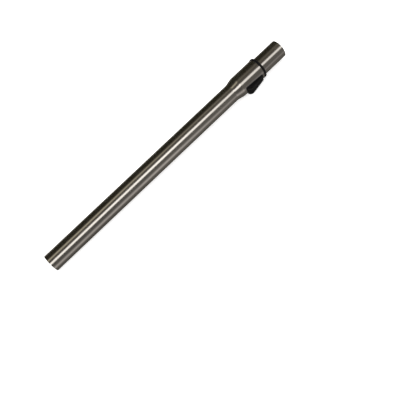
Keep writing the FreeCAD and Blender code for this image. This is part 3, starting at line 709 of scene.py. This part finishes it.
def ground_steel(finishes):
    """Ground pin steel with fine lines and oil smears."""
    made, tree, shader = material("ground_pin_steel")
    lines = placed(tree, "drawn_lines", Density=2600.0, Length=2600.0)
    marks = placed(tree, "handling_marks", Size=240.0)
    darker = [part * 0.72 for part in finishes.pin]
    tree.links.new(mix_colour(tree, marks["Smears"], finishes.pin, darker), shader.inputs["Base Color"])
    tree.links.new(maths(tree, "MULTIPLY_ADD", lines["Lines"], 0.22, 0.2), shader.inputs["Roughness"])
    shader.inputs["Metallic"].default_value = 1.0
    bumped(tree, shader, lines["Lines"], 0.08, FINE_BUMP)
    return made


def spring_wire(finishes):
    """Drawn spring wire: grey steel, slightly oily, with drawing streaks."""
    made, tree, shader = material("drawn_spring_wire")
    lines = placed(tree, "drawn_lines", Density=1800.0, Length=1800.0)
    marks = placed(tree, "handling_marks", Size=300.0)
    darker = [part * 0.6 for part in finishes.wire]
    tree.links.new(mix_colour(tree, lines["Streaks"], finishes.wire, darker), shader.inputs["Base Color"])
    tree.links.new(maths(tree, "MULTIPLY_ADD", marks["Smears"], 0.15, 0.28), shader.inputs["Roughness"])
    shader.inputs["Metallic"].default_value = 1.0
    bumped(tree, shader, lines["Lines"], 0.1, FINE_BUMP)
    return made


def soft_rubber(finishes):
    """Seal rubber: dull black with a dusty bloom."""
    made, tree, shader = material("soft_seal_rubber")
    grain = placed(tree, "moulded_grain", Grain_size=2200.0)
    marks = placed(tree, "handling_marks", Size=70.0)
    dusty = [min(1.0, part * 2.6) for part in finishes.rubber]
    tree.links.new(mix_colour(tree, marks["Smears"], finishes.rubber, dusty), shader.inputs["Base Color"])
    tree.links.new(maths(tree, "MULTIPLY_ADD", grain["Tone"], 0.18, 0.66), shader.inputs["Roughness"])
    bumped(tree, shader, grain["Grain"], 0.16, FINE_BUMP)
    return made


def pale_floor(finishes):
    """Painted studio floor with the faintest cloudiness."""
    made, tree, shader = material("pale_studio_floor")
    cloud = node(tree, "ShaderNodeTexNoise", Vector=place(tree, (1.0, 1.0, 1.0)), Scale=1.4, Detail=3.0)
    paler = [part * 0.985 for part in finishes.floor]
    tree.links.new(mix_colour(tree, cloud.outputs["Fac"], finishes.floor, paler), shader.inputs["Base Color"])
    shader.inputs["Roughness"].default_value = 0.9
    shader.inputs["Specular IOR Level"].default_value = 0.0
    shader.inputs["Emission Color"].default_value = (1.0, 1.0, 1.0, 1.0)
    shader.inputs["Emission Strength"].default_value = 0.7
    return made


def room_ramp(tree, share, brightness):
    """Colours of the dark room by height angle, in degrees from the camera's side of the floor over the top:
    floor, front box, overhead box, back box, a narrow strip and a low box behind. Brightness is that of front
    box, overhead box, floor, the dark between them and the back box."""
    front, overhead, floor, between, back = brightness
    brown, black = (0.05, 0.043, 0.034), (0.011, 0.0095, 0.004)
    rear = tuple(shade + back for shade in black)
    dark = tuple(between * part for part in (0.085, 0.08, 0.073))
    boxed = tuple(front * part for part in (1.0, 0.965, 0.93))
    beige = tuple(overhead * part for part in (0.20, 0.181, 0.14))
    pale = tuple(floor * part for part in (0.36, 0.335, 0.32))
    half_pale = tuple(0.5 * part for part in pale)
    room = [(-180, black), (-176, boxed), (-160, boxed), (-152, half_pale), (-128, brown), (-95, dark), (-72, dark),
            (-57, half_pale), (-43, pale), (-30, half_pale), (-15, dark), (13, dark), (19, boxed), (35.5, boxed),
            (41, dark), (60, brown), (70.5, beige), (77.5, beige), (86, brown), (99, black), (108, rear),
            (133, rear), (142, black), (152, black), (154, half_pale), (161, half_pale), (163, black), (180, black)]
    ramp = node(tree, "ShaderNodeValToRGB", Fac=share)
    stops = ramp.color_ramp.elements
    for number, (degrees, tint) in enumerate(room):
        place_on_ramp = (degrees + 180) / 360
        stop = stops[number] if number < 2 else stops.new(place_on_ramp)
        stop.position = place_on_ramp
        stop.color = (*tint, 1.0)
    return ramp.outputs["Color"]


def studio_world(studio):
    """Even white light for floor and plastic. What polished surfaces mirror is a dark room with long soft
    boxes that run beside the wand: the colour follows the height angle of the mirrored direction, less up to
    four degrees towards the middle, because the boxes bow a little."""
    world = bpy.data.worlds.new("studio_room")
    world.use_nodes = True
    tree = world.node_tree
    tree.nodes.clear()
    direction = node(tree, "ShaderNodeSeparateXYZ", Vector=tree.nodes.new("ShaderNodeTexCoord").outputs["Generated"])
    toward = maths(tree, "MULTIPLY", direction.outputs["Y"], -1.0)
    height = maths(tree, "ARCTAN2", direction.outputs["Z"], toward)
    from_middle = maths(tree, "MULTIPLY_ADD", direction.outputs["X"], 5.0, -0.6)
    squared = maths(tree, "MULTIPLY", from_middle, from_middle)
    bow = maths(tree, "MAXIMUM", maths(tree, "SUBTRACT", 1.0, squared))
    height = maths(tree, "MULTIPLY_ADD", bow, BOX_BOW, height)
    share = maths(tree, "MULTIPLY_ADD", height, 1 / (2 * math.pi), 0.5)
    along = direction.outputs["X"]
    stretches = [((1.03, 0.78, 1.12, 1.0, 0.0), along, -0.07, 0.20), ((0.66, 0.34, 0.5, 1.0, 0.0), along, 0.12, 0.40),
                 ((0.9, 0.9, 0.9, 1.4, 0.4), maths(tree, "ABSOLUTE", along), 0.45, 0.65)]
    seen_room = room_ramp(tree, share, (0.93, 1.55, 0.95, 0.75, 0.0))
    for brightness, distance, start, end in stretches:
        away = node(tree, "ShaderNodeMapRange", {"clamp": True, "interpolation_type": "SMOOTHSTEP"},
                    Value=distance, From_Min=start, From_Max=end)
        seen_room = mix_colour(tree, away.outputs["Result"], seen_room, room_ramp(tree, share, brightness))
    mirrored = node(tree, "ShaderNodeBackground", Color=seen_room, Strength=ROOM_STRENGTH)
    even = node(tree, "ShaderNodeBackground", Color=(1.0, 1.0, 1.0, 1.0), Strength=studio.fill)
    seen = node(tree, "ShaderNodeLightPath")
    which = tree.nodes.new("ShaderNodeMixShader")
    tree.links.new(seen.outputs["Is Glossy Ray"], which.inputs[0])
    tree.links.new(even.outputs["Background"], which.inputs[1])
    tree.links.new(mirrored.outputs["Background"], which.inputs[2])
    result = tree.nodes.new("ShaderNodeOutputWorld")
    tree.links.new(which.outputs["Shader"], result.inputs["Surface"])
    bpy.context.scene.world = world


class WAND_OT_finishes(bpy.types.Operator):
    """Makes the shared node groups and the finishes of every piece"""
    bl_idname = "wand.finishes"
    bl_label = "Make finishes"

    def execute(self, context):
        drawn_lines_group()
        handling_group()
        moulded_grain_group()
        for make in (polished_steel, matte_black, satin_sleeve, ground_steel, spring_wire, soft_rubber, pale_floor):
            make(context.scene.wand_finishes)
        return {"FINISHED"}


class WAND_OT_tubes(bpy.types.Operator):
    """Builds the lower tube with its swaged head and the sliding tube with its notches"""
    bl_idname = "wand.tubes"
    bl_label = "Build tubes"

    def execute(self, context):
        sizes, lock = context.scene.wand_tubes, context.scene.wand_lock
        steel = bpy.data.materials["polished_tube_steel"]
        lower = piece("lower_tube", lower_tube_patches(sizes, lock.button_taper))
        settle(lower, "lower_wand", "tube_steel", steel, "outer_tube")
        sliding = piece("sliding_tube", sliding_tube_patches(sizes, lock))
        settle(sliding, "upper_wand", "tube_steel", steel, "inner_tube")
        return {"FINISHED"}


class WAND_OT_mouth_ring(bpy.types.Operator):
    """Builds the black ring on the mouth of the head"""
    bl_idname = "wand.mouth_ring"
    bl_label = "Build mouth ring"

    def execute(self, context):
        ring = piece("mouth_collar", mouth_ring_patches(context.scene.wand_tubes))
        settle(ring, "lower_wand", "black_plastic", bpy.data.materials["matte_black_plastic"], "mouth_ring")
        return {"FINISHED"}


class WAND_OT_button(bpy.types.Operator):
    """Builds the rocker button, the webs under it and its return spring"""
    bl_idname = "wand.button"
    bl_label = "Build button and spring"

    def execute(self, context):
        lock = context.scene.wand_lock
        patches, values = release_button_patches(lock)
        button = piece("rocker_button", patches, values=values)
        wall = button.modifiers.new("wall", "SOLIDIFY")
        wall.thickness = lock.button_wall
        wall.offset = -1.0
        settle(button, "button", "black_plastic", bpy.data.materials["matte_black_plastic"], "release_button")
        webs = piece("button_webs", button_web_patches(lock))
        settle(webs, "button", "black_plastic", bpy.data.materials["matte_black_plastic"])
        spring = piece("return_spring", spring_patches(lock))
        settle(spring, "lower_wand", "spring_steel", bpy.data.materials["drawn_spring_wire"], "button_spring")
        foot = wand_points(np.array(lock.spring_station), np.array(0.0), np.array(lock.spring_low))
        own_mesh(spring)
        return {"FINISHED"}


class WAND_OT_inner_parts(bpy.types.Operator):
    """Gives the solids inside the wand their finishes: sleeve, bush, seal and pins"""
    bl_idname = "wand.inner_parts"
    bl_label = "Finish inner parts"

    def execute(self, context):
        finish = {"guide_sleeve": "satin_sleeve_plastic", "end_bush": "satin_sleeve_plastic",
                  "end_seal": "soft_seal_rubber", "pivot_pin": "ground_pin_steel", "lock_pin": "ground_pin_steel"}
        for name, label in finish.items():
            for slot in frame["nodes"][name].material_slots:
                slot.material = bpy.data.materials[label]
        return {"FINISHED"}


class WAND_OT_studio(bpy.types.Operator):
    """Builds the floor, the light and the camera"""
    bl_idname = "wand.studio"
    bl_label = "Build studio"

    def execute(self, context):
        scene, studio = context.scene, context.scene.wand_studio
        side = np.linspace(-studio.floor_size / 2, studio.floor_size / 2, 5)
        ground = np.stack(np.meshgrid(side, side, [CAD_BOX[0][2] - FLOOR_DROP], indexing="ij"), axis=-1)[:, :, 0]
        floor = piece("studio_floor", [(ground, grid_faces(5, 5)[:, ::-1])])
        floor.data.materials.append(bpy.data.materials["pale_studio_floor"])
        floor.visible_glossy = False
        studio_world(studio)
        lamp = bpy.data.lights.new("soft_top_light", "AREA")
        lamp.shape = "RECTANGLE"
        lamp.size, lamp.size_y, lamp.energy = 2.4, 1.6, 9.0
        top = bpy.data.objects.new("soft_top_light", lamp)
        top.matrix_world = Matrix.Translation((0.0, -0.5, 2.0)) @ Matrix.Rotation(math.radians(-14), 4, "X")
        top.visible_glossy = False
        scene.collection.objects.link(top)
        camera = bpy.data.objects.new("photo_camera", bpy.data.cameras.new("photo_camera"))
        camera.data.lens = studio.lens
        camera.data.sensor_width = SENSOR
        camera.data.clip_start = 0.01
        own = Matrix(np.stack([ALONG, ACROSS, OUT], axis=1).tolist()).to_4x4()
        own.translation = Vector(LOWER_END)
        turn = studio.turn.to_matrix().to_4x4()
        camera.matrix_world = own @ Matrix.Translation(studio.eye) @ turn
        scene.collection.objects.link(camera)
        scene.camera = camera
        scene.view_settings.view_transform = "Standard"
        return {"FINISHED"}


class WAND_PT_panel(bpy.types.Panel):
    """Lists the wand's building steps"""
    bl_idname = "WAND_PT_panel"
    bl_label = "Telescopic vacuum wand"
    bl_space_type = "VIEW_3D"
    bl_region_type = "UI"
    bl_category = "Wand"

    def draw(self, context):
        for step in STEPS:
            self.layout.operator(step.bl_idname)


STEPS = (WAND_OT_finishes, WAND_OT_tubes, WAND_OT_mouth_ring, WAND_OT_button, WAND_OT_inner_parts, WAND_OT_studio)
GROUPS = {"wand_tubes": WandTubeSizes, "wand_lock": WandLockSizes, "wand_finishes": WandFinishes,
          "wand_studio": WandStudio}


def register():
    """Adds the classes and the scene's settings."""
    for made in (*GROUPS.values(), *STEPS, WAND_PT_panel):
        bpy.utils.register_class(made)
    for name, made in GROUPS.items():
        setattr(bpy.types.Scene, name, PointerProperty(type=made))


def unregister():
    """Takes the settings and the classes away again."""
    for name in GROUPS:
        delattr(bpy.types.Scene, name)
    for made in reversed((*GROUPS.values(), *STEPS, WAND_PT_panel)):
        bpy.utils.unregister_class(made)


def main():
    """Builds the dressed wand."""
    register()
    bpy.ops.wand.finishes()
    bpy.ops.wand.tubes()
    bpy.ops.wand.mouth_ring()
    bpy.ops.wand.button()
    bpy.ops.wand.inner_parts()
    bpy.ops.wand.studio()


if __name__ == "__main__":
    main()
